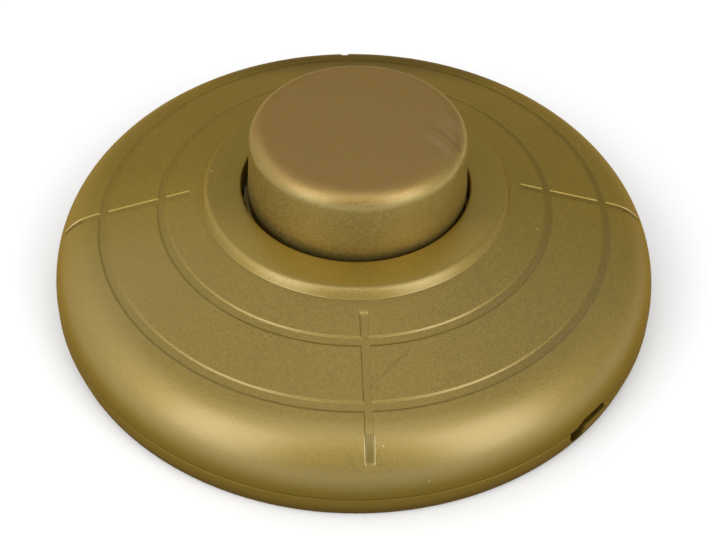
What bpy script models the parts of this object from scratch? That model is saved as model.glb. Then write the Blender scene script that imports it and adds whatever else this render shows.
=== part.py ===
# Round inline foot switch for a lamp's flat cord: press the button once for on, once more for off.
# Units are metres. +Z is up and the floor is Z 0. The two cord inlets lie on the X axis.
import math

import bmesh
import bpy
from mathutils import Matrix, Vector

MM = 0.001

# Running gap between pieces that touch on the real switch
SEAT_GAP = 0.3 * MM

# Outline of the housing
OUTER_RADIUS = 35.0 * MM
WIDEST_HEIGHT = 2.82 * MM
SHOULDER_ROUND = 7.7 * MM
CONE_ANGLE = math.radians(17.0)
SEAM_HEIGHT = 3.3 * MM
FOOT_STAND = 0.35 * MM

# Cover
COVER_WALL = 1.8 * MM
COLLAR_RADIUS = 17.4 * MM
COLLAR_RISE = 1.0 * MM
COLLAR_ROUND = 1.2 * MM
BUTTON_HOLE_RADIUS = 12.87 * MM
HOLE_EDGE = 0.25 * MM
GROOVE_WIDTH = 0.95 * MM
GROOVE_DEPTH = 0.2 * MM
INNER_GROOVE_SHARE = 0.342
OUTER_GROOVE_FROM_SHOULDER = 0.2 * MM
ARM_GROOVE_FROM_COLLAR = 1.5 * MM
ARM_GROOVE_FROM_RIM = 1.3 * MM
ARM_ANGLE = math.radians(47.3)
ARM_COUNT = 4
GUIDE_RIB_WIDTH = 1.8 * MM
GUIDE_RIB_DEPTH = 2.9 * MM
GUIDE_RIB_SETBACK = 0.15 * MM
GUIDE_RIB_DROP = 6.0 * MM
GUIDE_RIB_COUNT = 4
PILLAR_RADIUS = 2.4 * MM

# Cord inlets, for a flat two-core cord
INLET_WIDTH = 5.9 * MM
INLET_FLOOR = 1.5 * MM
INLET_TOP = 3.95 * MM
INLET_CORNER = 1.1 * MM
CHANNEL_PAST_CLAMP = 1.5 * MM

# Base
RIM_TAPER = 0.25 * MM
BASE_FLOOR = 2.15 * MM
LIP_WALL = 1.2 * MM
LIP_HEIGHT = 1.6 * MM
LIP_CLEARANCE = 0.35 * MM
RIM_EDGE = 0.35 * MM

# Button
BUTTON_RISE = 8.1 * MM
BUTTON_TOP_RADIUS = 11.95 * MM
BUTTON_FOOT_RADIUS = 12.35 * MM
BUTTON_ROUND = 2.0 * MM
BUTTON_CROWN = 0.15 * MM
BUTTON_WALL = 1.5 * MM
BUTTON_TOP_WALL = 1.8 * MM
FLANGE_REACH = 1.4 * MM
FLANGE_THICKNESS = 1.3 * MM
STROKE = 4.0 * MM

# Selector: a crown of slanted teeth on the rotor, and the same crown upside down in the button
TOOTH_COUNT = 8
TOOTH_STEPS = 5
CROWN_INNER = 3.2 * MM
CROWN_OUTER = 5.6 * MM
CROWN_SINK = 0.8 * MM
SPINDLE_RADIUS = 1.8 * MM
SPINDLE_CLEARANCE = 0.25 * MM
BEARING_RADIUS = 3.6 * MM
BEARING_HEIGHT = 1.1 * MM
NECK_ABOVE_CAGE = 1.3 * MM
NECK_SHOULDER = 0.15 * MM
ROTOR_FLANGE_RADIUS = 7.2 * MM
ROTOR_FLANGE_THICKNESS = 1.2 * MM
DRIVE_SQUARE = 5.0 * MM

# Cage that keeps the rotor down and seats the spring
CAGE_RADIUS = 10.5 * MM
CAGE_WALL = 1.2 * MM
CAGE_TOP = 1.6 * MM
CAGE_COLLAR_WALL = 1.1 * MM
CAGE_COLLAR_HEIGHT = 1.4 * MM
CAGE_WINDOW_WIDTH = 7.0 * MM
LUG_RADIUS = 2.6 * MM
LUG_THICKNESS = 1.2 * MM
LUG_FROM_CAGE = 2.1 * MM
LUG_BOSS_HEIGHT = 1.1 * MM

# Return spring
SPRING_RADIUS = 8.2 * MM
SPRING_WIRE = 0.8 * MM
SPRING_TURNS = 6.0
SPRING_POINTS_PER_TURN = 14
SPRING_DEAD_TURNS = 1.0

# Contacts, cut from brass sheet
SHEET = 0.6 * MM
DECK_HEIGHT = 1.2 * MM
RIVET_RADIUS = 1.4 * MM
RIVET_HEIGHT = 0.5 * MM
RIVET_DISTANCE = 7.4 * MM
LEAF_WIDTH = 4.0 * MM
CROSS_CLEARANCE = 0.4 * MM
CROSS_ARM_WIDTH = 3.0 * MM
CROSS_THICKNESS = 0.8 * MM
LINK_WIDTH = 2.6 * MM
LINK_CLEARANCE = 0.5 * MM
LINK_STEPS = 16

# Terminals
TERMINAL_Y = 6.2 * MM
TERMINAL_PAD = 6.0 * MM
DECK_MARGIN = 0.5 * MM
WASHER_SIDE = 5.6 * MM
WASHER_THICKNESS = 0.8 * MM

# Cord clamps
CLAMP_FROM_RIM = 8.5 * MM
CLAMP_SPREAD = 5.7 * MM
CLAMP_WIDTH = 5.0 * MM
CLAMP_THICKNESS = 1.8 * MM
CLAMP_EAR = 2.4 * MM
CLAMP_RIDGE = 0.9 * MM
CLAMP_BOSS_RADIUS = 2.2 * MM
CLAMP_BOSS_HEIGHT = 2.0 * MM

# Fasteners: shank radius, head radius, head height
SCREW_CLEARANCE = 0.25 * MM
SCREW_TIP = 0.5 * MM
SCREW_SLOT_WIDTH = 0.6 * MM
SCREW_SLOT_DEPTH = 0.6 * MM
SLOT_TURN = 40
TERMINAL_SCREW = (1.4 * MM, 2.6 * MM, 1.6 * MM)
CLAMP_SCREW = (1.1 * MM, 2.0 * MM, 1.2 * MM)
CAGE_SCREW = (1.1 * MM, 2.0 * MM, 1.0 * MM)
COVER_SCREW = (1.3 * MM, 2.5 * MM, 1.5 * MM)
BLIND_FLOOR = 0.5 * MM
COVER_SCREW_FROM_RIM = 7.4 * MM
COVER_SCREW_ANGLES = (90, 225, 315)
COVER_SCREW_GRIP = 4.0 * MM
BOSS_RADIUS = 3.2 * MM
BOSS_HEIGHT = 1.9 * MM
COUNTERBORE_DEPTH = 2.2 * MM

# Rubber feet
FOOT_RADIUS = 4.0 * MM
FOOT_SUNK = 0.5 * MM
FOOT_EDGE = 0.25 * MM
FOOT_FROM_RIM = 10.0 * MM
FOOT_ANGLES = (30, 150, 270)

# Roundness of turned pieces, in sides
COVER_SIDES = 64
BUTTON_SIDES = 48
SMALL_SIDES = 24
SCREW_SIDES = 12
SHOULDER_POINTS = 8
ROUND_POINTS = 4

# Upright rods are turned this much, so that none of their corners meets an edge of the housing
CORNER_TURN = math.radians(2)

# Heights that follow from the sizes above
CONE_SLOPE = math.tan(CONE_ANGLE)
SHOULDER_CENTRE = OUTER_RADIUS - SHOULDER_ROUND
CONE_RADIUS = SHOULDER_CENTRE + SHOULDER_ROUND * math.sin(CONE_ANGLE)
CONE_HEIGHT = WIDEST_HEIGHT + SHOULDER_ROUND * math.cos(CONE_ANGLE)
INNER_GROOVE = COLLAR_RADIUS + (CONE_RADIUS - COLLAR_RADIUS) * INNER_GROOVE_SHARE
OUTER_GROOVE = CONE_RADIUS - OUTER_GROOVE_FROM_SHOULDER - GROOVE_WIDTH
ARM_GROOVE_INNER = COLLAR_RADIUS + ARM_GROOVE_FROM_COLLAR
ARM_GROOVE_OUTER = OUTER_RADIUS - ARM_GROOVE_FROM_RIM
GUIDE_RIB_INNER = BUTTON_HOLE_RADIUS + GUIDE_RIB_SETBACK

# Places in the base, each from what it stands next to
RIM_BOTTOM_RADIUS = OUTER_RADIUS - RIM_TAPER
CLAMP_X = OUTER_RADIUS - CLAMP_FROM_RIM
CHANNEL_INNER_END = CLAMP_X - CLAMP_WIDTH / 2 - CHANNEL_PAST_CLAMP
TERMINAL_X = (CAGE_RADIUS + CLAMP_X - CLAMP_WIDTH / 2) / 2
COVER_SCREW_RADIUS = OUTER_RADIUS - COVER_SCREW_FROM_RIM
FOOT_CIRCLE = OUTER_RADIUS - FOOT_FROM_RIM
LUG_DISTANCE = CAGE_RADIUS + LUG_FROM_CAGE
LINK_RADIUS = LUG_DISTANCE + LUG_RADIUS + LINK_CLEARANCE + LINK_WIDTH / 2
CROSS_REACH = CAGE_RADIUS - CAGE_WALL - CROSS_CLEARANCE


def cone_height(radius):
    """Height of the cover's cone, or of its line carried on inwards, at a distance from the axis."""
    return CONE_HEIGHT + CONE_SLOPE * (CONE_RADIUS - radius)


COLLAR_TOP = cone_height(COLLAR_RADIUS) + COLLAR_RISE
COLLAR_UNDERSIDE = COLLAR_TOP - COVER_WALL
BUTTON_TOP = COLLAR_TOP + BUTTON_RISE
BUTTON_CEILING = BUTTON_TOP - BUTTON_TOP_WALL
FLOOR_TOP = FOOT_STAND + BASE_FLOOR
DECK_TOP = FLOOR_TOP + DECK_HEIGHT
SHEET_BOTTOM = DECK_TOP + SEAT_GAP
SHEET_TOP = SHEET_BOTTOM + SHEET
CROSS_BOTTOM = SHEET_TOP + RIVET_HEIGHT + SEAT_GAP
CROSS_TOP = CROSS_BOTTOM + CROSS_THICKNESS
BEARING_TOP = FLOOR_TOP + BEARING_HEIGHT
ROTOR_BOTTOM = BEARING_TOP + SEAT_GAP
ROTOR_FLANGE_BOTTOM = CROSS_TOP + SEAT_GAP
ROTOR_FLANGE_TOP = ROTOR_FLANGE_BOTTOM + ROTOR_FLANGE_THICKNESS
CAGE_UNDERSIDE = ROTOR_FLANGE_TOP + SEAT_GAP
CAGE_SEAT = CAGE_UNDERSIDE + CAGE_TOP
NECK_RADIUS = CROWN_OUTER + NECK_SHOULDER
NECK_TOP = CAGE_SEAT + NECK_ABOVE_CAGE
CROWN_TIP = NECK_TOP + STROKE
SPINDLE_TOP = NECK_TOP + SPINDLE_RADIUS
COVER_SCREW_SEAT = FOOT_STAND + COUNTERBORE_DEPTH
BOSS_TOP = FLOOR_TOP + BOSS_HEIGHT
CLAMP_BOSS_TOP = FLOOR_TOP + CLAMP_BOSS_HEIGHT
FOOT_TOP = FOOT_STAND + FOOT_SUNK
FLANGE_RADIUS = BUTTON_FOOT_RADIUS + FLANGE_REACH
FLANGE_TOP = COLLAR_UNDERSIDE - SEAT_GAP
FLANGE_BOTTOM = FLANGE_TOP - FLANGE_THICKNESS


def clear_scene():
    for old in list(bpy.data.objects):
        bpy.data.objects.remove(old, do_unlink=True)


def collection(name):
    made = bpy.data.collections.new(name)
    bpy.context.scene.collection.children.link(made)
    return made


def finish(name, colour, metallic, roughness):
    material = bpy.data.materials.new(name)
    material.use_nodes = True
    shader = material.node_tree.nodes["Principled BSDF"]
    shader.inputs["Base Color"].default_value = (*colour, 1.0)
    shader.inputs["Metallic"].default_value = metallic
    shader.inputs["Roughness"].default_value = roughness
    return material


clear_scene()
PARTS = collection("foot_switch")
CUTTERS = collection("cutters")
GOLD = finish("gold_plastic", (0.27, 0.19, 0.05), 0.55, 0.42)
BLACK = finish("black_plastic", (0.03, 0.03, 0.03), 0.0, 0.5)
IVORY = finish("ivory_plastic", (0.75, 0.70, 0.58), 0.0, 0.45)
BRASS = finish("brass", (0.72, 0.52, 0.22), 1.0, 0.3)
STEEL = finish("zinc_steel", (0.62, 0.62, 0.60), 1.0, 0.35)
RUBBER = finish("rubber", (0.04, 0.04, 0.04), 0.0, 0.8)


def place(name, mesh, material):
    """A new object for a mesh: a piece of the switch if it has a material, else a hidden helper."""
    piece = bpy.data.objects.new(name, mesh)
    if material:
        mesh.materials.append(material)
        PARTS.objects.link(piece)
    else:
        CUTTERS.objects.link(piece)
        piece.hide_render = True
        piece.display_type = "WIRE"
    return piece


def turned(name, profile, sides, material=None):
    """A solid turned about Z from (radius, height) points that run down its outer side."""
    mesh = bpy.data.meshes.new(name)
    count = len(profile)
    whole_loop = profile[0][0] > 0 and profile[-1][0] > 0
    edges = [(i, i + 1) for i in range(count - 1)]
    if whole_loop:
        edges.append((count - 1, 0))
    mesh.from_pydata([(radius, 0, height) for radius, height in profile], edges, [])
    piece = place(name, mesh, material)
    screw = piece.modifiers.new("turn", "SCREW")
    screw.steps = sides
    screw.render_steps = sides
    screw.use_merge_vertices = True
    screw.merge_threshold = 0.001 * MM
    screw.use_smooth_shade = True
    return piece


def block(name, size, centre, material=None, angle=0.0):
    mesh = bpy.data.meshes.new(name)
    shape = bmesh.new()
    bmesh.ops.create_cube(shape, size=1.0)
    bmesh.ops.scale(shape, verts=shape.verts, vec=Vector(size))
    bmesh.ops.translate(shape, verts=shape.verts, vec=Vector(centre))
    bmesh.ops.rotate(shape, verts=shape.verts, cent=(0, 0, 0), matrix=Matrix.Rotation(angle, 3, "Z"))
    shape.to_mesh(mesh)
    shape.free()
    return place(name, mesh, material)


def rods(name, spots, radius, low, high, sides=SMALL_SIDES, material=None):
    """Upright cylinders of one size at several spots, as one mesh."""
    mesh = bpy.data.meshes.new(name)
    shape = bmesh.new()
    for x, y in spots:
        middle = Matrix.Translation((x, y, (low + high) / 2)) @ Matrix.Rotation(CORNER_TURN, 4, "Z")
        bmesh.ops.create_cone(
            shape, cap_ends=True, segments=sides, radius1=radius, radius2=radius,
            depth=high - low, matrix=middle,
        )
    shape.to_mesh(mesh)
    shape.free()
    return place(name, mesh, material)


def plate(name, outline, holes, low, thickness, material=None):
    """A flat sheet piece: a filled 2D outline with holes, given its thickness."""
    curve = bpy.data.curves.new(name, "CURVE")
    curve.dimensions = "2D"
    curve.fill_mode = "BOTH"
    curve.extrude = thickness / 2
    for ring in [outline, *holes]:
        spline = curve.splines.new("POLY")
        spline.points.add(len(ring) - 1)
        spline.use_cyclic_u = True
        for point, (x, y) in zip(spline.points, ring):
            point.co = (x, y, 0, 1)
    drawn = bpy.data.objects.new(name + "_outline", curve)
    drawn.location.z = low + thickness / 2
    bpy.context.scene.collection.objects.link(drawn)
    bpy.context.view_layer.update()
    graph = bpy.context.evaluated_depsgraph_get()
    mesh = bpy.data.meshes.new_from_object(drawn.evaluated_get(graph))
    mesh.name = name
    mesh.transform(drawn.matrix_world)
    shape = bmesh.new()
    shape.from_mesh(mesh)
    bmesh.ops.remove_doubles(shape, verts=shape.verts, dist=0.001 * MM)
    shape.to_mesh(mesh)
    shape.free()
    mesh.materials.clear()
    bpy.data.objects.remove(drawn, do_unlink=True)
    return place(name, mesh, material)


def combine(piece, other, operation):
    change = piece.modifiers.new(other.name, "BOOLEAN")
    change.operation = operation
    change.solver = "EXACT"
    change.object = other
    return piece


def cut(piece, *others):
    for other in others:
        combine(piece, other, "DIFFERENCE")
    return piece


def join(piece, *others):
    for other in others:
        combine(piece, other, "UNION")
    return piece


def on_circle(radius, degrees):
    angle = math.radians(degrees)
    return radius * math.cos(angle), radius * math.sin(angle)


def ring_of_points(x, y, radius, sides):
    turn = 2 * math.pi / sides
    return [(x + radius * math.cos(i * turn), y + radius * math.sin(i * turn)) for i in range(sides)]


def arc_points(centre, radius, start, stop, count):
    """Points of an arc in a profile, from one angle to another above the horizontal."""
    angles = [start + (stop - start) * i / (count - 1) for i in range(count)]
    return [(centre[0] + radius * math.cos(a), centre[1] + radius * math.sin(a)) for a in angles]


def groove_points(inner):
    """The four corners of a shallow ring groove in the cone."""
    outer = inner + GROOVE_WIDTH
    slant = GROOVE_DEPTH / 2
    return [
        (inner, cone_height(inner)),
        (inner + slant, cone_height(inner + slant) - GROOVE_DEPTH),
        (outer - slant, cone_height(outer - slant) - GROOVE_DEPTH),
        (outer, cone_height(outer)),
    ]


def collar_points():
    """The collar's flat top and the round that runs down to the cone."""
    centre = (COLLAR_RADIUS - COLLAR_ROUND, COLLAR_TOP - COLLAR_ROUND)
    lowest = math.asin(max(0.0, 1 - COLLAR_RISE / COLLAR_ROUND))
    round_edge = arc_points(centre, COLLAR_ROUND, math.pi / 2, lowest, ROUND_POINTS + 1)
    foot_radius = round_edge[-1][0]
    return round_edge[:-1] + [(foot_radius, cone_height(foot_radius))]


def shoulder_arc(radius, count, lowest):
    """The round between cone and seam, at one radius of curvature, down to a given height."""
    last = math.asin((lowest - WIDEST_HEIGHT) / radius)
    centre = (SHOULDER_CENTRE, WIDEST_HEIGHT)
    return arc_points(centre, radius, math.pi / 2 - CONE_ANGLE, last, count)


def cover_underside():
    """The inner side of the cover, from the seam up and inwards to the button's hole."""
    inner_round = SHOULDER_ROUND - COVER_WALL
    shoulder = shoulder_arc(inner_round, SHOULDER_POINTS - 2, SEAM_HEIGHT)[::-1]
    top_radius, top_height = shoulder[-1]
    flat_radius = top_radius - (COLLAR_UNDERSIDE - top_height) / CONE_SLOPE
    flat_radius = max(flat_radius, BUTTON_HOLE_RADIUS + COVER_WALL)
    return shoulder + [(flat_radius, COLLAR_UNDERSIDE), (BUTTON_HOLE_RADIUS, COLLAR_UNDERSIDE)]


def arm_groove(index):
    """Cutter for one radial groove: it follows the cone and the shoulder at the groove's depth."""
    half = GROOVE_WIDTH / 2
    outer_angle = math.acos((ARM_GROOVE_OUTER - SHOULDER_CENTRE) / SHOULDER_ROUND)
    centre = (SHOULDER_CENTRE, WIDEST_HEIGHT)
    floor = [(ARM_GROOVE_INNER, cone_height(ARM_GROOVE_INNER) - GROOVE_DEPTH)]
    floor += arc_points(centre, SHOULDER_ROUND - GROOVE_DEPTH, math.pi / 2 - CONE_ANGLE, outer_angle, 6)
    sky = cone_height(ARM_GROOVE_INNER) + GROOVE_DEPTH
    outline = floor + [(floor[-1][0] + GROOVE_DEPTH, sky), (ARM_GROOVE_INNER, sky)]
    cutter = plate(f"arm_groove_{index}", outline, [], -half, GROOVE_WIDTH)
    stand_up = Matrix.Rotation(math.pi / 2, 4, "X")
    turn = Matrix.Rotation(ARM_ANGLE + index * 2 * math.pi / ARM_COUNT, 4, "Z")
    cutter.data.transform(turn @ stand_up)
    return cutter


def inlet_cutter(name, side):
    """The cord's way through the rim on one side: an upright oblong with round corners."""
    length = OUTER_RADIUS + COVER_WALL - CHANNEL_INNER_END
    middle = CHANNEL_INNER_END + length / 2
    high = INLET_TOP - INLET_FLOOR
    cutter = block(name, (length, INLET_WIDTH, high), (side * middle, 0, INLET_FLOOR + high / 2))
    shape = bmesh.new()
    shape.from_mesh(cutter.data)
    long_edges = [
        edge for edge in shape.edges
        if abs(edge.verts[0].co.x - edge.verts[1].co.x) > length / 2
    ]
    bmesh.ops.bevel(shape, geom=long_edges, offset=INLET_CORNER, segments=3, profile=0.5, affect="EDGES")
    shape.to_mesh(cutter.data)
    shape.free()
    return cutter


INLETS = [inlet_cutter(f"inlet_{name}", side) for name, side in (("right", 1), ("left", -1))]
COVER_SCREW_SPOTS = [on_circle(COVER_SCREW_RADIUS, degrees) for degrees in COVER_SCREW_ANGLES]
CLAMP_SCREW_SPOTS = [(sx * CLAMP_X, sy * CLAMP_SPREAD) for sx in (1, -1) for sy in (1, -1)]
TERMINAL_SPOTS = [(sx * TERMINAL_X, sy * TERMINAL_Y) for sx in (1, -1) for sy in (1, -1)]
CAGE_SCREW_SPOTS = [(0, LUG_DISTANCE), (0, -LUG_DISTANCE)]
FOOT_SPOTS = [on_circle(FOOT_CIRCLE, degrees) for degrees in FOOT_ANGLES]


def make_cover():
    """The domed shell with its collar, ring and arm grooves, screw pillars and button guides."""
    profile = [
        (BUTTON_HOLE_RADIUS, COLLAR_TOP - HOLE_EDGE),
        (BUTTON_HOLE_RADIUS + HOLE_EDGE, COLLAR_TOP),
        *collar_points(),
        *groove_points(INNER_GROOVE),
        *groove_points(OUTER_GROOVE),
        *shoulder_arc(SHOULDER_ROUND, SHOULDER_POINTS, SEAM_HEIGHT),
        *cover_underside(),
    ]
    cover = turned("cover", profile, COVER_SIDES, GOLD)
    foot, top = BOSS_TOP + SEAT_GAP, COLLAR_TOP
    pillars = rods("pillars", COVER_SCREW_SPOTS, PILLAR_RADIUS, foot, top, 16)
    for vertex in pillars.data.vertices:
        if vertex.co.z > foot + MM:
            vertex.co.z = cone_height(vertex.co.xy.length) - COVER_WALL / 2
    join(cover, pillars)
    rib_top = COLLAR_TOP - COVER_WALL / 2
    for index in range(GUIDE_RIB_COUNT):
        rib_size = (GUIDE_RIB_DEPTH, GUIDE_RIB_WIDTH, rib_top - COLLAR_UNDERSIDE + GUIDE_RIB_DROP)
        rib_centre = (GUIDE_RIB_INNER + GUIDE_RIB_DEPTH / 2, 0, rib_top - rib_size[2] / 2)
        angle = math.pi / GUIDE_RIB_COUNT + index * 2 * math.pi / GUIDE_RIB_COUNT
        join(cover, block(f"guide_rib_{index}", rib_size, rib_centre, angle=angle))
    pilot = COVER_SCREW[0] + SCREW_CLEARANCE
    pilot_top = BOSS_TOP + SEAT_GAP + COVER_SCREW_GRIP
    cut(cover, rods("pilots", COVER_SCREW_SPOTS, pilot, BOSS_TOP, pilot_top, SCREW_SIDES))
    for index in range(ARM_COUNT):
        cut(cover, arm_groove(index))
    cut(cover, *INLETS)
    return cover


def make_base():
    """The floor tray with its rim, register lip, bosses, decks, cord channels and spindle."""
    rim_top = SEAM_HEIGHT - SEAT_GAP
    rim_top_radius = SHOULDER_CENTRE + math.sqrt(SHOULDER_ROUND ** 2 - (rim_top - WIDEST_HEIGHT) ** 2)
    lip_radius = SHOULDER_CENTRE + SHOULDER_ROUND - COVER_WALL - LIP_CLEARANCE
    profile = [
        (0, FLOOR_TOP),
        (lip_radius - LIP_WALL, FLOOR_TOP),
        (lip_radius - LIP_WALL, rim_top + LIP_HEIGHT),
        (lip_radius - LIP_CLEARANCE, rim_top + LIP_HEIGHT),
        (lip_radius, rim_top + LIP_HEIGHT / 2),
        (lip_radius, rim_top),
        (rim_top_radius, rim_top),
        (RIM_BOTTOM_RADIUS, FOOT_STAND + RIM_EDGE),
        (RIM_BOTTOM_RADIUS - RIM_EDGE, FOOT_STAND),
        (0, FOOT_STAND),
    ]
    base = turned("base", profile, COVER_SIDES, GOLD)
    sunk = BASE_FLOOR / 2
    join(base, rods("screw_bosses", COVER_SCREW_SPOTS, BOSS_RADIUS, FLOOR_TOP - sunk, BOSS_TOP, 16))
    clamp_bosses = rods(
        "clamp_bosses", CLAMP_SCREW_SPOTS, CLAMP_BOSS_RADIUS, FLOOR_TOP - sunk, CLAMP_BOSS_TOP, SCREW_SIDES
    )
    join(base, clamp_bosses)
    lug_bosses = rods(
        "lug_bosses", CAGE_SCREW_SPOTS, LUG_RADIUS, FLOOR_TOP - sunk, FLOOR_TOP + LUG_BOSS_HEIGHT, 16
    )
    join(base, lug_bosses)
    deck_side = TERMINAL_PAD + 2 * DECK_MARGIN
    deck_size = (deck_side, deck_side, DECK_HEIGHT + sunk)
    for index, (x, y) in enumerate(TERMINAL_SPOTS):
        join(base, block(f"deck_{index}", deck_size, (x, y, DECK_TOP - deck_size[2] / 2)))
    join(base, rods("bearing", [(0, 0)], BEARING_RADIUS, FLOOR_TOP - sunk, BEARING_TOP, 20))
    join(base, rods("spindle", [(0, 0)], SPINDLE_RADIUS, FLOOR_TOP - sunk, SPINDLE_TOP, 16))
    join(base, link_support())
    cut(base, *INLETS)
    blind = FOOT_STAND + BLIND_FLOOR
    for name, spots, screw, top in (
        ("terminal_holes", TERMINAL_SPOTS, TERMINAL_SCREW, DECK_TOP),
        ("clamp_holes", CLAMP_SCREW_SPOTS, CLAMP_SCREW, CLAMP_BOSS_TOP),
        ("cage_holes", CAGE_SCREW_SPOTS, CAGE_SCREW, FLOOR_TOP + LUG_BOSS_HEIGHT),
    ):
        cut(base, rods(name, spots, screw[0] + SCREW_CLEARANCE, blind, top + sunk, SCREW_SIDES))
    through = COVER_SCREW[0] + SCREW_CLEARANCE
    cut(base, rods("cover_screw_holes", COVER_SCREW_SPOTS, through, 0, BOSS_TOP + sunk, SCREW_SIDES))
    bore = COVER_SCREW[1] + SCREW_CLEARANCE
    cut(base, rods("counterbores", COVER_SCREW_SPOTS, bore, 0, COVER_SCREW_SEAT, 16))
    recess = FOOT_RADIUS + SEAT_GAP
    cut(base, rods("foot_recesses", FOOT_SPOTS, recess, 0, FOOT_TOP + SEAT_GAP, SMALL_SIDES))
    return base


def crown(name, low_ring, tooth_root, direction):
    """A ring of slanted teeth, one stroke high. Direction -1 turns it over, to mesh with the other."""
    mesh = bpy.data.meshes.new(name)
    shape = bmesh.new()
    pitch = 2 * math.pi / TOOTH_COUNT

    def corner(radius, angle, height):
        return shape.verts.new((radius * math.cos(angle), radius * math.sin(angle), height))

    columns = []
    for tooth in range(TOOTH_COUNT):
        for step in range(TOOTH_STEPS):
            share = step / TOOTH_STEPS
            angle = (tooth + share) * pitch
            height = tooth_root + STROKE * share
            bottom = [corner(radius, angle, low_ring) for radius in (CROWN_INNER, CROWN_OUTER)]
            top = [corner(radius, angle, height) for radius in (CROWN_INNER, CROWN_OUTER)]
            columns.append((bottom, top, top))
    tips = []
    for tooth in range(TOOTH_COUNT):
        angle = (tooth + 1) * pitch
        tips.append([corner(radius, angle, tooth_root + STROKE) for radius in (CROWN_INNER, CROWN_OUTER)])
    total = len(columns)
    for i, (bottom, top, _) in enumerate(columns):
        next_bottom, next_top, _ = columns[(i + 1) % total]
        last_of_tooth = i % TOOTH_STEPS == TOOTH_STEPS - 1
        end = tips[i // TOOTH_STEPS] if last_of_tooth else next_top
        shape.faces.new((bottom[0], bottom[1], next_bottom[1], next_bottom[0]))
        shape.faces.new((top[0], end[0], end[1], top[1]))
        for side in (0, 1):
            ring = [bottom[side], next_bottom[side]]
            if last_of_tooth:
                ring.append(next_top[side])
            ring += [end[side], top[side]]
            shape.faces.new(ring)
        if last_of_tooth:
            shape.faces.new((end[0], next_top[0], next_top[1], end[1]))
    for vert in shape.verts:
        vert.co.yz *= direction
    bmesh.ops.recalc_face_normals(shape, faces=shape.faces)
    shape.to_mesh(mesh)
    shape.free()
    return place(name, mesh, None)


def make_rotor():
    """The selector: a flanged neck with a crown of teeth above and a square drive below."""
    profile = [
        (0, NECK_TOP),
        (NECK_RADIUS, NECK_TOP),
        (NECK_RADIUS, ROTOR_FLANGE_TOP),
        (ROTOR_FLANGE_RADIUS, ROTOR_FLANGE_TOP),
        (ROTOR_FLANGE_RADIUS, ROTOR_FLANGE_BOTTOM),
        (0, ROTOR_FLANGE_BOTTOM),
    ]
    rotor = turned("selector_rotor", profile, SMALL_SIDES, IVORY)
    square_high = ROTOR_FLANGE_BOTTOM + ROTOR_FLANGE_THICKNESS / 2 - ROTOR_BOTTOM
    square_size = (DRIVE_SQUARE, DRIVE_SQUARE, square_high)
    join(rotor, block("drive_square", square_size, (0, 0, ROTOR_BOTTOM + square_high / 2)))
    join(rotor, crown("rotor_crown", NECK_TOP - CROWN_SINK, NECK_TOP, 1))
    bore = SPINDLE_RADIUS + SPINDLE_CLEARANCE
    cut(rotor, rods("rotor_bore", [(0, 0)], bore, FOOT_STAND, CROWN_TIP, 16))
    return rotor


def make_button():
    """The press cap: a drawn-in cup with a rounded top edge, a retaining flange and the driver crown."""
    round_centre = (BUTTON_TOP_RADIUS - BUTTON_ROUND, BUTTON_TOP - BUTTON_CROWN - BUTTON_ROUND)
    inner_top = BUTTON_TOP_RADIUS - BUTTON_WALL
    inner_foot = BUTTON_FOOT_RADIUS - BUTTON_WALL
    profile = [
        (0, BUTTON_TOP),
        (round_centre[0] * 0.55, BUTTON_TOP - BUTTON_CROWN / 3),
        *arc_points(round_centre, BUTTON_ROUND, math.pi / 2, 0, ROUND_POINTS + 3),
        (BUTTON_FOOT_RADIUS, COLLAR_TOP),
        (BUTTON_FOOT_RADIUS, FLANGE_TOP),
        (FLANGE_RADIUS, FLANGE_TOP),
        (FLANGE_RADIUS, FLANGE_BOTTOM),
        (inner_foot, FLANGE_BOTTOM),
        (inner_foot, COLLAR_TOP),
        (inner_top, BUTTON_CEILING - BUTTON_ROUND / 2),
        (inner_top - BUTTON_ROUND / 2, BUTTON_CEILING),
        (0, BUTTON_CEILING),
    ]
    button = turned("button", profile, BUTTON_SIDES, GOLD)
    driver_root = CROWN_TIP + SEAT_GAP + STROKE
    driver = crown("driver_crown", -(BUTTON_CEILING + CROWN_SINK), -driver_root, -1)
    join(button, driver)
    notch_width = GUIDE_RIB_WIDTH + 2 * SEAT_GAP
    notch_inner = GUIDE_RIB_INNER - SEAT_GAP
    notch_size = (GUIDE_RIB_DEPTH, notch_width, FLANGE_THICKNESS + 2 * SEAT_GAP)
    notch_centre = (notch_inner + GUIDE_RIB_DEPTH / 2, 0, (FLANGE_TOP + FLANGE_BOTTOM) / 2)
    for index in range(GUIDE_RIB_COUNT):
        angle = math.pi / GUIDE_RIB_COUNT + index * 2 * math.pi / GUIDE_RIB_COUNT
        cut(button, block(f"flange_notch_{index}", notch_size, notch_centre, angle=angle))
    return button


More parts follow.
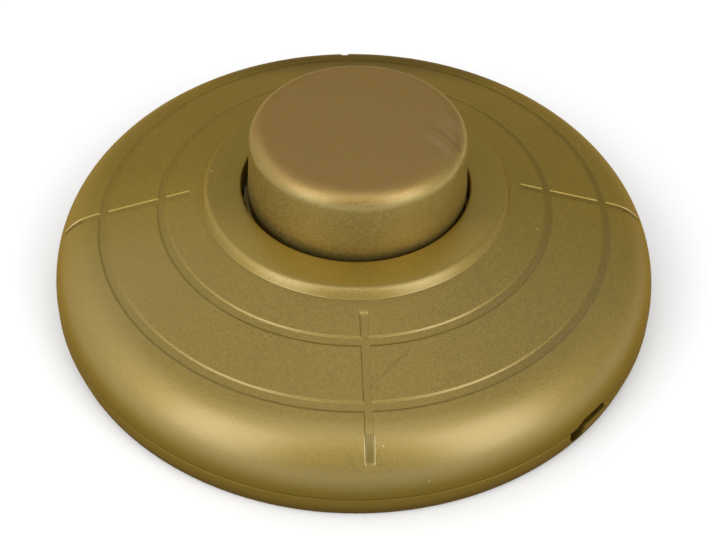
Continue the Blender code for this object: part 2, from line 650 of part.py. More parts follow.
def make_cage():
    """The inverted cup over the contacts: it keeps the rotor down and seats the spring on top."""
    hole = NECK_RADIUS + SEAT_GAP
    collar = hole + CAGE_COLLAR_WALL
    inner = CAGE_RADIUS - CAGE_WALL
    bottom = FLOOR_TOP + SEAT_GAP
    profile = [
        (hole, CAGE_SEAT + CAGE_COLLAR_HEIGHT),
        (collar, CAGE_SEAT + CAGE_COLLAR_HEIGHT),
        (collar, CAGE_SEAT),
        (CAGE_RADIUS, CAGE_SEAT),
        (CAGE_RADIUS, bottom),
        (inner, bottom),
        (inner, CAGE_UNDERSIDE),
        (hole, CAGE_UNDERSIDE),
    ]
    cage = turned("mechanism_cage", profile, SMALL_SIDES + 8, BLACK)
    lug_low = FLOOR_TOP + LUG_BOSS_HEIGHT + SEAT_GAP
    lug_high = lug_low + LUG_THICKNESS
    for index, (x, y) in enumerate(CAGE_SCREW_SPOTS):
        side = math.copysign(1, y)
        web_length = LUG_DISTANCE - inner - CAGE_WALL / 3
        web_size = (2 * LUG_RADIUS - DECK_MARGIN, web_length, LUG_THICKNESS)
        web_centre = (x, side * (LUG_DISTANCE - web_length / 2), (lug_low + lug_high) / 2)
        join(cage, block(f"lug_web_{index}", web_size, web_centre))
        join(cage, rods(f"lug_{index}", [(x, y)], LUG_RADIUS, lug_low, lug_high, 16))
    shank_hole = CAGE_SCREW[0] + SCREW_CLEARANCE
    below = lug_low - SEAT_GAP
    cut(cage, rods("lug_holes", CAGE_SCREW_SPOTS, shank_hole, below, lug_high + SEAT_GAP, SCREW_SIDES))
    relief = LUG_RADIUS + SEAT_GAP
    cut(cage, rods("boss_relief", CAGE_SCREW_SPOTS, relief, FLOOR_TOP - SEAT_GAP, lug_low, 16))
    window_top = CROSS_BOTTOM + SEAT_GAP
    window_size = (4 * CAGE_RADIUS, CAGE_WINDOW_WIDTH, window_top - FLOOR_TOP)
    cut(cage, block("cage_windows", window_size, (0, 0, (window_top + FLOOR_TOP) / 2)))
    return cage


def make_cross():
    """The moving contact: a sheet cross on the rotor's square, half a pitch off the line contacts."""
    arms = 4
    half = CROSS_ARM_WIDTH / 2
    throat = DRIVE_SQUARE
    outline = []
    for arm in range(arms):
        angle = (arm + 0.5) * 2 * math.pi / arms
        along = Vector((math.cos(angle), math.sin(angle)))
        across = Vector((-along.y, along.x))
        outline += [
            tuple(along * throat - across * half),
            tuple(along * (CROSS_REACH - half / 2) - across * half),
            tuple(along * CROSS_REACH - across * half / 2),
            tuple(along * CROSS_REACH + across * half / 2),
            tuple(along * (CROSS_REACH - half / 2) + across * half),
            tuple(along * throat + across * half),
        ]
    side = DRIVE_SQUARE / 2 + SPINDLE_CLEARANCE
    square = [(side, side), (-side, side), (-side, -side), (side, -side)]
    return plate("contact_cross", outline, [square], CROSS_BOTTOM, CROSS_THICKNESS, BRASS)


def screw_hole(x, y, screw):
    return ring_of_points(x, y, screw[0] + SCREW_CLEARANCE, SCREW_SIDES)


def make_line_contact(name, side):
    """A sheet strip from one live terminal to the rivet under the cross."""
    half = TERMINAL_PAD / 2
    x, y = side * TERMINAL_X, TERMINAL_Y
    leaf = LEAF_WIDTH / 2
    tip = RIVET_DISTANCE - RIVET_RADIUS
    outline = [
        (x - side * half, y + half),
        (x + side * half, y + half),
        (x + side * half, y - half),
        (x - side * half / 2, -leaf),
        (side * tip, -leaf),
        (side * (tip - leaf / 2), -leaf / 2),
        (side * (tip - leaf / 2), leaf / 2),
        (side * tip, leaf),
        (x - side * half, leaf),
    ]
    strip = plate(name, outline, [screw_hole(x, y, TERMINAL_SCREW)], SHEET_BOTTOM, SHEET, BRASS)
    spots = [(side * RIVET_DISTANCE, 0)]
    rivet_low = SHEET_BOTTOM + SHEET / 2
    rivet = rods(name + "_rivet", spots, RIVET_RADIUS, rivet_low, SHEET_TOP + RIVET_HEIGHT, 16)
    return join(strip, rivet)


def link_ring(radius, reverse=False):
    """Points of the neutral link's arc between its two pads, on the negative Y side."""
    first = math.atan2(-TERMINAL_Y - TERMINAL_PAD / 2, TERMINAL_X - TERMINAL_PAD / 2)
    last = -math.pi - first
    angles = [first + (last - first) * i / LINK_STEPS for i in range(LINK_STEPS + 1)]
    if reverse:
        angles = angles[::-1]
    return [(radius * math.cos(a), radius * math.sin(a)) for a in angles]


def link_outline():
    half = TERMINAL_PAD / 2
    right, left, y = TERMINAL_X, -TERMINAL_X, -TERMINAL_Y
    outline = [
        (right - half, y - half / 3), (right - half, y + half), (right + half, y + half),
        (right + half, y - half),
    ]
    outline += link_ring(LINK_RADIUS + LINK_WIDTH / 2)[1:-1]
    outline += [
        (left - half, y - half), (left - half, y + half), (left + half, y + half),
        (left + half, y - half / 3),
    ]
    return outline + link_ring(LINK_RADIUS - LINK_WIDTH / 2, reverse=True)[1:-1]


def make_neutral_link():
    """The strip that joins the two neutral terminals past the mechanism."""
    holes = [screw_hole(side * TERMINAL_X, -TERMINAL_Y, TERMINAL_SCREW) for side in (1, -1)]
    return plate("neutral_link", link_outline(), holes, SHEET_BOTTOM, SHEET, BRASS)


def link_support():
    """A low curved wall on the base under the middle of the neutral link."""
    inner = LINK_RADIUS - LINK_WIDTH / 4
    outer = LINK_RADIUS + LINK_WIDTH / 4
    outline = link_ring(outer)[4:-4] + link_ring(inner, reverse=True)[4:-4]
    return plate("link_wall", outline, [], FLOOR_TOP - BASE_FLOOR / 2, DECK_HEIGHT + BASE_FLOOR / 2)


def make_screw(name, sizes, tip, seat, spot, turn, upside_down=False):
    """A slotted screw between its tip and the seat of its head, which may face down."""
    shank, head, head_height = sizes
    way = -1 if upside_down else 1
    profile = [
        (0, head_height),
        (head * 0.7, head_height * 0.92),
        (head, head_height * 0.45),
        (head, 0),
        (shank, 0),
        (shank, -(abs(seat - tip) - SCREW_TIP)),
        (0, -abs(seat - tip)),
    ]
    screw = turned(name, profile, SCREW_SIDES, STEEL)
    slot_size = (3 * head, SCREW_SLOT_WIDTH, 2 * SCREW_SLOT_DEPTH)
    slot = block(name + "_slot", slot_size, (0, 0, head_height))
    for piece in (screw, slot):
        piece.rotation_euler = (math.pi if way < 0 else 0, 0, math.radians(turn))
        piece.location = (spot[0], spot[1], seat)
    return cut(screw, slot)


def make_washer(name, spot):
    """The square clamp plate under a terminal screw."""
    half = WASHER_SIDE / 2
    x, y = spot
    outline = [(x - half, y - half), (x + half, y - half), (x + half, y + half), (x - half, y + half)]
    hole = screw_hole(x, y, TERMINAL_SCREW)
    return plate(name, outline, [hole], SHEET_TOP + SEAT_GAP, WASHER_THICKNESS, STEEL)


def make_clamp(name, side):
    """The bar that grips the cord: round ears for two screws and a pressing ridge between them."""
    x = side * CLAMP_X
    low = CLAMP_BOSS_TOP + SEAT_GAP
    half = CLAMP_WIDTH / 2
    outline = []
    for way in (1, -1):
        start = 0 if way > 0 else math.pi
        for step in range(7):
            angle = start + math.pi * step / 6
            outline.append((x + half * math.cos(angle), way * CLAMP_SPREAD + CLAMP_EAR * math.sin(angle)))
    holes = [screw_hole(x, way * CLAMP_SPREAD, CLAMP_SCREW) for way in (1, -1)]
    clamp = plate(name, outline, holes, low, CLAMP_THICKNESS, IVORY)
    ridge_size = (CLAMP_RIDGE, INLET_WIDTH - 2 * SEAT_GAP, CLAMP_RIDGE + CLAMP_THICKNESS / 2)
    ridge_low = low - CLAMP_RIDGE
    ridge = block(name + "_ridge", ridge_size, (x, 0, ridge_low + ridge_size[2] / 2))
    return join(clamp, ridge)


def make_spring():
    """The return spring round the selector, from the cage's seat to the button's ceiling."""
    low = CAGE_SEAT + SEAT_GAP + SPRING_WIRE / 2
    high = BUTTON_CEILING - SEAT_GAP - SPRING_WIRE / 2
    closed_rise = SPRING_WIRE + SEAT_GAP / 3
    active = SPRING_TURNS - 2 * SPRING_DEAD_TURNS
    open_rise = (high - low - 2 * closed_rise * SPRING_DEAD_TURNS) / active
    curve = bpy.data.curves.new("return_spring", "CURVE")
    curve.dimensions = "3D"
    curve.bevel_depth = SPRING_WIRE / 2
    curve.bevel_resolution = 2
    curve.use_fill_caps = True
    count = round(SPRING_TURNS * SPRING_POINTS_PER_TURN) + 1
    spline = curve.splines.new("POLY")
    spline.points.add(count - 1)
    for i, point in enumerate(spline.points):
        turns = i / SPRING_POINTS_PER_TURN
        first = min(turns, SPRING_DEAD_TURNS)
        last = max(0.0, turns - (SPRING_TURNS - SPRING_DEAD_TURNS))
        height = low + (first + last) * closed_rise + (turns - first - last) * open_rise
        angle = 2 * math.pi * turns
        point.co = (SPRING_RADIUS * math.cos(angle), SPRING_RADIUS * math.sin(angle), height, 1)
    spring = bpy.data.objects.new("return_spring", curve)
    curve.materials.append(STEEL)
    PARTS.objects.link(spring)
    return spring


def make_foot(name, spot):
    """A round rubber pad, sunk into the base and standing a little below it."""
    profile = [
        (0, FOOT_TOP),
        (FOOT_RADIUS, FOOT_TOP),
        (FOOT_RADIUS, FOOT_EDGE),
        (FOOT_RADIUS - FOOT_EDGE, 0),
        (0, 0),
    ]
    foot = turned(name, profile, SMALL_SIDES, RUBBER)
    foot.location = (spot[0], spot[1], 0)
    return foot


def build():
    make_cover()
    make_base()
    make_button()
    make_cage()
    make_rotor()
    make_cross()
    make_spring()
    make_line_contact("line_contact_in", 1)
    make_line_contact("line_contact_out", -1)
    make_neutral_link()
    blind = FOOT_STAND + BLIND_FLOOR + SEAT_GAP
    terminal_seat = SHEET_TOP + WASHER_THICKNESS + 2 * SEAT_GAP
    terminal_names = ("line_in", "neutral_in", "line_out", "neutral_out")
    for index, (name, spot) in enumerate(zip(terminal_names, TERMINAL_SPOTS)):
        make_washer("clamp_plate_" + name, spot)
        make_screw("terminal_screw_" + name, TERMINAL_SCREW, blind, terminal_seat, spot, SLOT_TURN * index)
    for name, side in (("in", 1), ("out", -1)):
        make_clamp("cord_clamp_" + name, side)
    clamp_seat = CLAMP_BOSS_TOP + CLAMP_THICKNESS + 2 * SEAT_GAP
    for index, spot in enumerate(CLAMP_SCREW_SPOTS):
        make_screw(f"cord_clamp_screw_{index + 1}", CLAMP_SCREW, blind, clamp_seat, spot, SLOT_TURN * index)
    cage_seat = FLOOR_TOP + LUG_BOSS_HEIGHT + LUG_THICKNESS + 2 * SEAT_GAP
    for index, spot in enumerate(CAGE_SCREW_SPOTS):
        make_screw(f"cage_screw_{index + 1}", CAGE_SCREW, blind, cage_seat, spot, SLOT_TURN * index)
    grip_end = BOSS_TOP + COVER_SCREW_GRIP
    head_seat = COVER_SCREW_SEAT - SEAT_GAP
    for index, spot in enumerate(COVER_SCREW_SPOTS):
        turn = SLOT_TURN * index
        make_screw(f"cover_screw_{index + 1}", COVER_SCREW, grip_end, head_seat, spot, turn, True)
    for index, spot in enumerate(FOOT_SPOTS):
        make_foot(f"foot_{index + 1}", spot)


build()
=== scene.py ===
"""Looks of the round inline foot switch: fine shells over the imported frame, finishes, light and camera."""
import math

import bmesh
import bpy
import numpy as np
from mathutils import Matrix, Quaternion, Vector


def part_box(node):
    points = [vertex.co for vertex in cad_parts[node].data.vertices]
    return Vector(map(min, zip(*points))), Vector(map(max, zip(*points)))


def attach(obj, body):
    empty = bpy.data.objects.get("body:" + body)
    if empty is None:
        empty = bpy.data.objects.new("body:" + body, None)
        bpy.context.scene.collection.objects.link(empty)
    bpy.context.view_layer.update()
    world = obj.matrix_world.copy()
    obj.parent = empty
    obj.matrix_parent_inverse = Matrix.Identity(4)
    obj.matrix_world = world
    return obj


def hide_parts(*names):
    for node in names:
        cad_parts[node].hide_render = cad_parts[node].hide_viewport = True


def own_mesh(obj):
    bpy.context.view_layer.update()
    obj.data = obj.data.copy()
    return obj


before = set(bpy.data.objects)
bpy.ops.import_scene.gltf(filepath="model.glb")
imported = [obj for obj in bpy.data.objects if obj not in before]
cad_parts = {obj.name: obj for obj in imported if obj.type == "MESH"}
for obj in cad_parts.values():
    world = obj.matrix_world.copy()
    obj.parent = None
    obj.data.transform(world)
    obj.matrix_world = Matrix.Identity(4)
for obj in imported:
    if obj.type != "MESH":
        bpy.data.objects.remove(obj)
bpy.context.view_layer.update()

MM = 0.001

# Fineness of the meshes
CUTTER_SIDES = 96
SHELL_COLUMNS = 300
BUTTON_COLUMNS = 192
SHOULDER_ROWS = 40
CRISP_ANGLE = math.radians(35)

# Housing, in millimetres, in the part's own frame
OUTER_RADIUS = 35.0
SEAM_HEIGHT = 3.3
BASE_RIM_TOP = 3.18
BASE_BOTTOM = 0.35
BASE_BOTTOM_RADIUS = 34.75
BASE_EDGE = 0.35
BASE_RIM_EDGE = 0.18
TRAY_FLOOR = 2.5
TRAY_RADIUS = 30.9
LIP_OUTER = 32.85
LIP_INNER = 31.65
LIP_TOP = 4.6
COVER_WALL = 1.8
HOLE_RADIUS = 12.87
COLLAR_TOP = 14.9
COLLAR_FLAT_RADIUS = 16.5
COLLAR_ROUND = 1.0
CONE_START = (17.45, 13.88)
SHOULDER_START = (30.0, 10.05)
SHOULDER_HANDLE = 3.6
RIM_HANDLE = 3.0
RIM_END_DROP = 0.4
SEAM_EDGE = 0.12
HOLE_EDGE = 0.25
PILLAR_CIRCLE = 27.6
PILLAR_ANGLES = (90, 225, 315)
PILLAR_SPACE = 2.5
RIB_ANGLES = (45, 135, 225, 315)
RIB_SPACE = 15.6

# Grooves in the cover: two rings, and four radial arms that end on the rim. Banks and steps are their soft sides,
# and lines are how far the mesh columns beside an arm's middle lie from it.
RING_GROOVES = ((21.42, 22.58), (28.2, 29.4))
GROOVE_DEPTH = 0.13
GROOVE_BANK = 0.2
GROOVE_STEP = 0.24
ARM_ANGLE = math.radians(47.3)
ARM_HALF_WIDTH = 0.5
ARM_BANK = 0.12
ARM_START = 18.9
ARM_START_SOFT = 0.1
ARM_END_HEIGHT = 7.45
ARM_END_SOFT = 0.15
ARM_DEEP_HEIGHT = 9.35
ARM_LINES = (0.8, 0.56, 0.5, 0.47, 0.44, 0.41, 0.38, 0.32, 0.15)

# Cord inlets, half in the cover and half in the base, with their mesh columns as above
INLET_HALF_WIDTH = 2.95
INLET_CORNER = 1.1
INLET_FLOOR = 1.5
INLET_TOP = 3.95
INLET_LIP_TOP = 2.85
INLET_LIP_START = -0.95
INLET_RISE_START = -2.2
INLET_RISE_RUN = 1.3
INLET_DRAWN_TOP = 5.4
INLET_LINES = (3.4, 2.96, 2.94, 2.88, 2.7, 2.4, 2.0, 1.75, 1.0, 0.46, 0.44)
FAR_OFF = 99.0

# Button
BUTTON_TOP = 23.0
BUTTON_FLAT_RADIUS = 9.95
BUTTON_ROUND = 2.0
BUTTON_CROWN = 0.12
BUTTON_FOOT_RADIUS = 12.35
BUTTON_LEAN = 0.2
FLANGE_TOP = 12.8
FLANGE_BOTTOM = 11.5
FLANGE_RADIUS = 13.75
NOTCH_REACH = (12.7, 16.0)
NOTCH_WIDTH = 2.4
TEETH_SPACE = 6.6

# Return spring
SPRING_RADIUS = 8.2
SPRING_WIRE = 0.8
SPRING_TURNS = 6.0
SPRING_DEAD_TURNS = 1.0
SPRING_DEAD_PITCH = 0.9
SPRING_STEPS = 56
SPRING_SIDES = 10

# Lacquer: the sizes of its grain, and where its coat thins out. Pairs are where a change starts and ends.
FLAKE_SIZE = 0.13
CLOUD_SIZE = 9.0
PEEL_SIZE = 0.5
PEEL_DEPTH = 0.012
SPECK_SPACING = 2.6
SPECK_EDGE = (0.025, 0.05)
SPECK_CHOICE = (0.7, 0.78)
COAT_LEAST = 0.03
COAT_LEAN = 0.085
COAT_HEIGHTS = (6.8, 9.3)
COAT_BACK_TO_FRONT = (-4.0, 20.0)

# Marks, painted shade and painted light on the lacquer, in millimetres
GROOVE_EDGE = 0.1
# Painted shade in the arm grooves: how far across them, and from which radius
ARM_SHADE = (0.36, 0.46)
ARM_SHADE_START = (18.8, 19.0)
# Painted shade down the arms' ends on the rim, and painted highlights along their edges
ARM_END_SHADE_WIDTH = (0.36, 0.44)
ARM_END_HIGHLIGHT_IN = (0.4, 0.46)
ARM_END_HIGHLIGHT_OUT = (0.52, 0.6)
# Painted shade in the ring grooves, and the sides of the view towards which the groove shade grows
RING_SHADE_INSIDE = (0.1, 0.3)
RING_SHADE_OUTSIDE = (-0.16, -0.04)
GROOVE_SHADE_SIDES = (8.0, 22.0)
# Painted shade over the back, away from the camera
BACK_SHADE = (22.0, 30.0)
# Painted light on the collar's flat in front of the button
COLLAR_LIGHT_REACH = (16.2, 16.9)
COLLAR_LIGHT_FRONT = (4.0, 12.0)
# Painted shade along the cover's lower edge
LOW_SHADE = (SEAM_HEIGHT - 1.5, 9.0)
SCRATCH_PLACE = 19.87
SCRATCH_WIDTH = (0.05, 0.19)
SCRATCH_START = (-18.6, -17.6)
SCRATCH_END = (-12.4, -11.9)
SCRATCH_WANDER = 0.3
SCRATCH_WANDER_SIZE = 2.4
BUTTON_TOP_TONE = (21.4, 22.7)
# Painted light on the button's right side
BUTTON_SIDE_LIGHT = (4.0, 12.0)
FLOW_PLACE = (9.4, 6.2)
FLOW_REACH = (1.0, 5.2)
FLOW_HEIGHTS = (17.0, 21.0)
FLOW_SIZE = 0.9
FLOW_STRETCH = (0.2, 1.0, 1.0)
FLOW_TURN = (0.0, 0.0, -0.5)
# Painted shade inside the cord inlets
INLET_SHADE_REACH = (34.1, 34.4)
INLET_SHADE_FLOOR = (0.6, 0.8)
# Painted shade along the base near the floor
BASE_LOW_SHADE = (0.6, 2.9)

# Camera: where it stands round the object, and the pixel at which it sees the middle of the switch
PHOTO_WIDTH, PHOTO_HEIGHT = 724, 545
SENSOR_WIDTH = 36.0
CAMERA_FOCAL_PIXELS = 1241.0
CAMERA_DISTANCE = 141.88
CAMERA_ELEVATION = math.radians(42.22)
CAMERA_AZIMUTH = math.radians(44.19)
CAMERA_ROLL = math.radians(0.86)
CAMERA_TARGET = Vector((0, 0, 12.5))
TARGET_PIXEL = (355.55, 195.8)

# Floor direction from the switch to the camera, close to the camera's azimuth
VIEW_SINE, VIEW_COSINE = 0.695, 0.719

# Room, in metres
ROOM_LEVEL = 0.52
FLOOR_HALF_SIZE = 4.0
FLOOR_COLOUR = (0.97, 0.97, 0.97)
LAMP_DISTANCE = 0.9


# Meshes


def new_piece(name, points, faces):
    """A smooth-shaded object from points in millimetres."""
    mesh = bpy.data.meshes.new(name)
    mesh.from_pydata([tuple(point) for point in np.asarray(points) * MM], [], [tuple(f) for f in faces])
    shape = bmesh.new()
    shape.from_mesh(mesh)
    bmesh.ops.recalc_face_normals(shape, faces=shape.faces)
    shape.to_mesh(mesh)
    shape.free()
    mesh.shade_smooth()
    piece = bpy.data.objects.new(name, mesh)
    bpy.context.scene.collection.objects.link(piece)
    return piece


def carved(piece, cutter, operation):
    """One exact Boolean, applied to the piece. The cutter goes."""
    step = piece.modifiers.new("carve", "BOOLEAN")
    step.operation, step.solver, step.object = operation, "EXACT", cutter
    result = piece.evaluated_get(bpy.context.evaluated_depsgraph_get())
    mesh = bpy.data.meshes.new_from_object(result)
    piece.modifiers.clear()
    piece.data = mesh
    bpy.data.objects.remove(cutter)
    return piece


def merged(piece, *others):
    """Takes the meshes of other pieces in, and keeps steep edges crisp."""
    whole = bmesh.new()
    for part in (piece, *others):
        whole.from_mesh(part.data)
    whole.to_mesh(piece.data)
    whole.free()
    for part in others:
        bpy.data.objects.remove(part)
    piece.data.shade_smooth()
    piece.data.set_sharp_from_angle(angle=CRISP_ANGLE)
    return piece


def rods(name, spots, radius, low, high, angles=None):
    """Closed upright cylinders as one mesh, in millimetres."""
    angles = np.linspace(0, 2 * math.pi, CUTTER_SIDES, endpoint=False) if angles is None else angles
    count = len(angles)
    points, faces = [], []
    for x, y in spots:
        start = len(points)
        for height in (low, high):
            points += [(x + radius * math.cos(a), y + radius * math.sin(a), height) for a in angles]
        faces.append(range(start, start + count))
        faces.append(range(start + count, start + 2 * count))
        for column in range(count):
            right = (column + 1) % count
            faces.append((start + column, start + right, start + count + right, start + count + column))
    return new_piece(name, points, faces)


def blocks(name, angles, reach, width, low, high):
    """Upright boxes round the axis, from one radius to another, as one mesh in millimetres."""
    points, faces = [], []
    for angle in np.radians(angles):
        start = len(points)
        for height in (low, high):
            for along, side in ((reach[0], -1), (reach[1], -1), (reach[1], 1), (reach[0], 1)):
                x, y = along, side * width / 2
                points.append((x * math.cos(angle) - y * math.sin(angle),
                               x * math.sin(angle) + y * math.cos(angle), height))
        for face in ((3, 2, 1, 0), (4, 5, 6, 7), (0, 1, 5, 4), (1, 2, 6, 5), (2, 3, 7, 6), (3, 0, 4, 7)):
            faces.append([start + corner for corner in face])
    return new_piece(name, points, faces)


def inside_of(node, cutter):
    """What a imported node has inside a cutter, as a piece of its own. The node itself stays as it is."""
    piece = bpy.data.objects.new(node + "_inside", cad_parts[node].data.copy())
    bpy.context.scene.collection.objects.link(piece)
    return carved(piece, cutter, "INTERSECT")


def on_circle(radius, degrees):
    """A point round the axis."""
    return radius * math.cos(math.radians(degrees)), radius * math.sin(math.radians(degrees))


def spread(low, high, count):
    """Even steps from one number to another."""
    return [low + (high - low) * i / (count - 1) for i in range(count)]


def arc(centre, radius, start, stop, count):
    """Profile points on an arc, from one angle in degrees to another."""
    angles = np.radians(np.linspace(start, stop, count))
    return np.stack([centre[0] + radius * np.cos(angles), centre[1] + radius * np.sin(angles)], axis=1)


def bezier(a, b, c, d, count):
    """Profile points on a curve from a to d, with b and c as its handles."""
    t = np.linspace(0, 1, count)[:, None]
    a, b, c, d = (np.array(p, float) for p in (a, b, c, d))
    return a * (1 - t) ** 3 + 3 * b * t * (1 - t) ** 2 + 3 * c * t ** 2 * (1 - t) + d * t ** 3


CONE_RUN = np.array(SHOULDER_START) - np.array(CONE_START)
CONE_ALONG = CONE_RUN / np.linalg.norm(CONE_RUN)


def shoulder(count):
    """The round from the cone down to the seam."""
    start = np.array(SHOULDER_START)
    end = np.array((OUTER_RADIUS, SEAM_HEIGHT - RIM_END_DROP))
    return bezier(start, start + CONE_ALONG * SHOULDER_HANDLE, end + (0, RIM_HANDLE), end, count)


SHOULDER = shoulder(200)


def rim_radius(height):
    """Radius of the shoulder at a height below its start."""
    return np.interp(height, SHOULDER[::-1, 1], SHOULDER[::-1, 0])


def inlet_top(side):
    """Height of the cord inlet's upper edge, sideways from its middle. One end lies lower, at the seam."""
    corner = np.clip((side - (INLET_HALF_WIDTH - INLET_CORNER)) / INLET_CORNER, 0, 1)
    top = INLET_TOP - INLET_CORNER + INLET_CORNER * np.sqrt(1 - corner ** 2)
    rise = (np.maximum(top, SEAM_HEIGHT) - SEAM_HEIGHT) * ease((side - INLET_RISE_START) / INLET_RISE_RUN)
    return np.where(np.abs(side) < INLET_HALF_WIDTH, SEAM_HEIGHT + rise, SEAM_HEIGHT)


def inlet_bottom(offset):
    """Height of the cord inlet's lower edge, sideways from its middle, and far off beside it."""
    corner = np.clip((np.abs(offset) - (INLET_HALF_WIDTH - INLET_CORNER)) / INLET_CORNER, 0, 1)
    bottom = INLET_FLOOR + INLET_CORNER - INLET_CORNER * np.sqrt(1 - corner ** 2)
    return np.where(np.abs(offset) < INLET_HALF_WIDTH, bottom, FAR_OFF)


def column_plan():
    """Columns round a shell. Each has two lines through the axis, an offset from each, and a share of the second."""
    lines = [(ARM_ANGLE + k * math.pi / 2, ARM_LINES) for k in range(4)]
    lines += [(0.0, INLET_LINES), (math.pi, INLET_LINES)]
    lines.sort(key=lambda line: line[0] % (2 * math.pi))
    plan = []
    for index, (angle, offsets) in enumerate(lines):
        angle %= 2 * math.pi
        marks = sorted({*offsets, 0.0, *(-offset for offset in offsets)})
        plan += [(angle, mark, angle, mark, 0.0) for mark in marks]
        follower, more = lines[(index + 1) % len(lines)]
        follower %= 2 * math.pi
        if follower <= angle:
            follower += 2 * math.pi
        count = max(3, round(SHELL_COLUMNS * (follower - angle) / (2 * math.pi)))
        for step in range(1, count):
            plan.append((angle, marks[-1], follower, -max(more), step / count))
    return np.array(plan)


def column_angles(plan, radius):
    """The angle of each column at a radius: offset columns run parallel to their line."""
    first = plan[:, 0] + np.arcsin(np.clip(plan[:, 1] / radius, -0.9, 0.9))
    second = plan[:, 2] + np.arcsin(np.clip(plan[:, 3] / radius, -0.9, 0.9))
    return first + (second - first) * plan[:, 4]


def loop_faces(rows, columns, closed_rows):
    """Quads between rows of points that each run once round."""
    faces = []
    for row in range(rows if closed_rows else rows - 1):
        following = (row + 1) % rows
        for column in range(columns):
            right = (column + 1) % columns
            faces.append(
                (row * columns + column, following * columns + column,
                 following * columns + right, row * columns + right)
            )
    return faces


def ease(value):
    """0 to 1, with a soft start and end."""
    value = np.clip(value, 0, 1)
    return value * value * (3 - 2 * value)


def ring_depth(radius):
    """How deep the two ring grooves lie at a radius, with soft edges."""
    depth = 0.0
    for inner, outer in RING_GROOVES:
        depth += ease((radius - inner) / GROOVE_BANK) * ease((outer - radius) / GROOVE_STEP)
    return GROOVE_DEPTH * depth


def cover_rows():
    """Profile of the cover, from the hole's lower edge over the top to the seam and back inside."""
    hole = [(HOLE_RADIUS, COLLAR_TOP - COVER_WALL), (HOLE_RADIUS, COLLAR_TOP - 0.6)]
    hole_edge = arc((HOLE_RADIUS + HOLE_EDGE, COLLAR_TOP - HOLE_EDGE), HOLE_EDGE, 180, 90, 5)
    flat = [(radius, COLLAR_TOP) for radius in spread(13.6, 16.0, 4)]
    brow, foot = np.array((COLLAR_FLAT_RADIUS, COLLAR_TOP)), np.array(CONE_START)
    collar_edge = bezier(brow, brow + (COLLAR_ROUND * 0.45, 0), foot + (-0.22, 0.45), foot, 14)
    collar_foot = bezier(foot + (0.02, -0.02), foot + (0.05, -0.045),
                         foot + CONE_ALONG * 0.12, foot + CONE_ALONG * 0.2, 4)
    radii = [18.2, 18.75, 18.85, 18.95, 19.05, 19.4, 20.5]
    for inner, outer in RING_GROOVES:
        radii += [inner - 0.6, inner - 0.06, *spread(inner, inner + GROOVE_BANK, 8)]
        radii += [inner + GROOVE_BANK + 0.08, (inner + outer) / 2, outer - GROOVE_STEP - 0.08]
        radii += [*spread(outer - GROOVE_STEP, outer, 5), outer + 0.06]
    radii += [23.4, 24.6, 25.9, 27.2]
    slope = CONE_RUN[1] / CONE_RUN[0]
    cone = [(radius, CONE_START[1] + (radius - CONE_START[0]) * slope) for radius in sorted(radii)]
    outer_rows = [*hole, *hole_edge, *flat, *collar_edge, *collar_foot, *cone, *shoulder(SHOULDER_ROWS)[1:]]
    outer_rows = [row for row in outer_rows if row[1] > SEAM_HEIGHT + SEAM_EDGE]
    edge = arc((rim_radius(SEAM_HEIGHT) - SEAM_EDGE, SEAM_HEIGHT + SEAM_EDGE), SEAM_EDGE, 0, -90, 4)
    inner_wall = OUTER_RADIUS - COVER_WALL
    inside = [(inner_wall, SEAM_HEIGHT), (inner_wall, 4.2), (inner_wall - 0.3, 5.6), (32.0, 7.2), (30.6, 8.3),
              (29.2, 8.6), (22.0, 10.6), (14.7, 12.95), (14.0, COLLAR_TOP - COVER_WALL)]
    return outer_rows, edge, inside


def make_cover_shell():
    """The visible cover: grooves pressed into one fine skin, and the inlets' upper halves in its edge."""
    outer_rows, edge, inside = cover_rows()
    rows = np.array([*outer_rows, *edge, *inside])
    plan = column_plan()
    count_outer = len(outer_rows) + len(edge)
    direction = np.gradient(rows[:, 0]), np.gradient(rows[:, 1])
    length = np.hypot(*direction)
    normal = np.stack([-direction[1] / length, direction[0] / length], axis=1)
    points = []
    for index, (radius, height) in enumerate(rows):
        angles = column_angles(plan, radius)
        x, y = radius * np.cos(angles), radius * np.sin(angles)
        along = x * math.cos(ARM_ANGLE) + y * math.sin(ARM_ANGLE)
        across = y * math.cos(ARM_ANGLE) - x * math.sin(ARM_ANGLE)
        offset = np.minimum(np.abs(along), np.abs(across))
        outside = index < count_outer
        sunk = 0.0
        if outside and radius > COLLAR_FLAT_RADIUS:
            started = ease((radius - ARM_START + ARM_START_SOFT) / (2 * ARM_START_SOFT))
            not_ended = ease((height - ARM_END_HEIGHT + ARM_END_SOFT) / (2 * ARM_END_SOFT))
            arm = ease((ARM_HALF_WIDTH - offset) / ARM_BANK) * started * not_ended * GROOVE_DEPTH
            sunk = np.maximum(arm, ring_depth(radius))
        near = np.where(np.abs(x) > np.abs(y), y * np.sign(x), FAR_OFF)
        follow = ease((INLET_DRAWN_TOP - height) / (INLET_DRAWN_TOP - SEAM_HEIGHT - 0.3))
        high = height + (inlet_top(near) - SEAM_HEIGHT) * follow
        shift = (rim_radius(high) - rim_radius(height)) if outside and height < 6 else 0.0
        wide = radius + shift + sunk * -abs(normal[index, 0])
        high = high - sunk * abs(normal[index, 1])
        points.append(np.stack([wide * np.cos(angles), wide * np.sin(angles), high + 0 * angles], axis=1))
    faces = loop_faces(len(rows), len(plan), True)
    shell = new_piece("cover_shell", np.concatenate(points), faces)
    spots = [on_circle(PILLAR_CIRCLE, degrees) for degrees in PILLAR_ANGLES]
    pillars = inside_of("cover", rods("pillar_space", spots, PILLAR_SPACE, 3.0, 9.9))
    ribs = inside_of("cover", rods("rib_space", [(0, 0)], RIB_SPACE, 5.0, COLLAR_TOP - COVER_WALL - 0.02))
    return merged(shell, pillars, ribs)


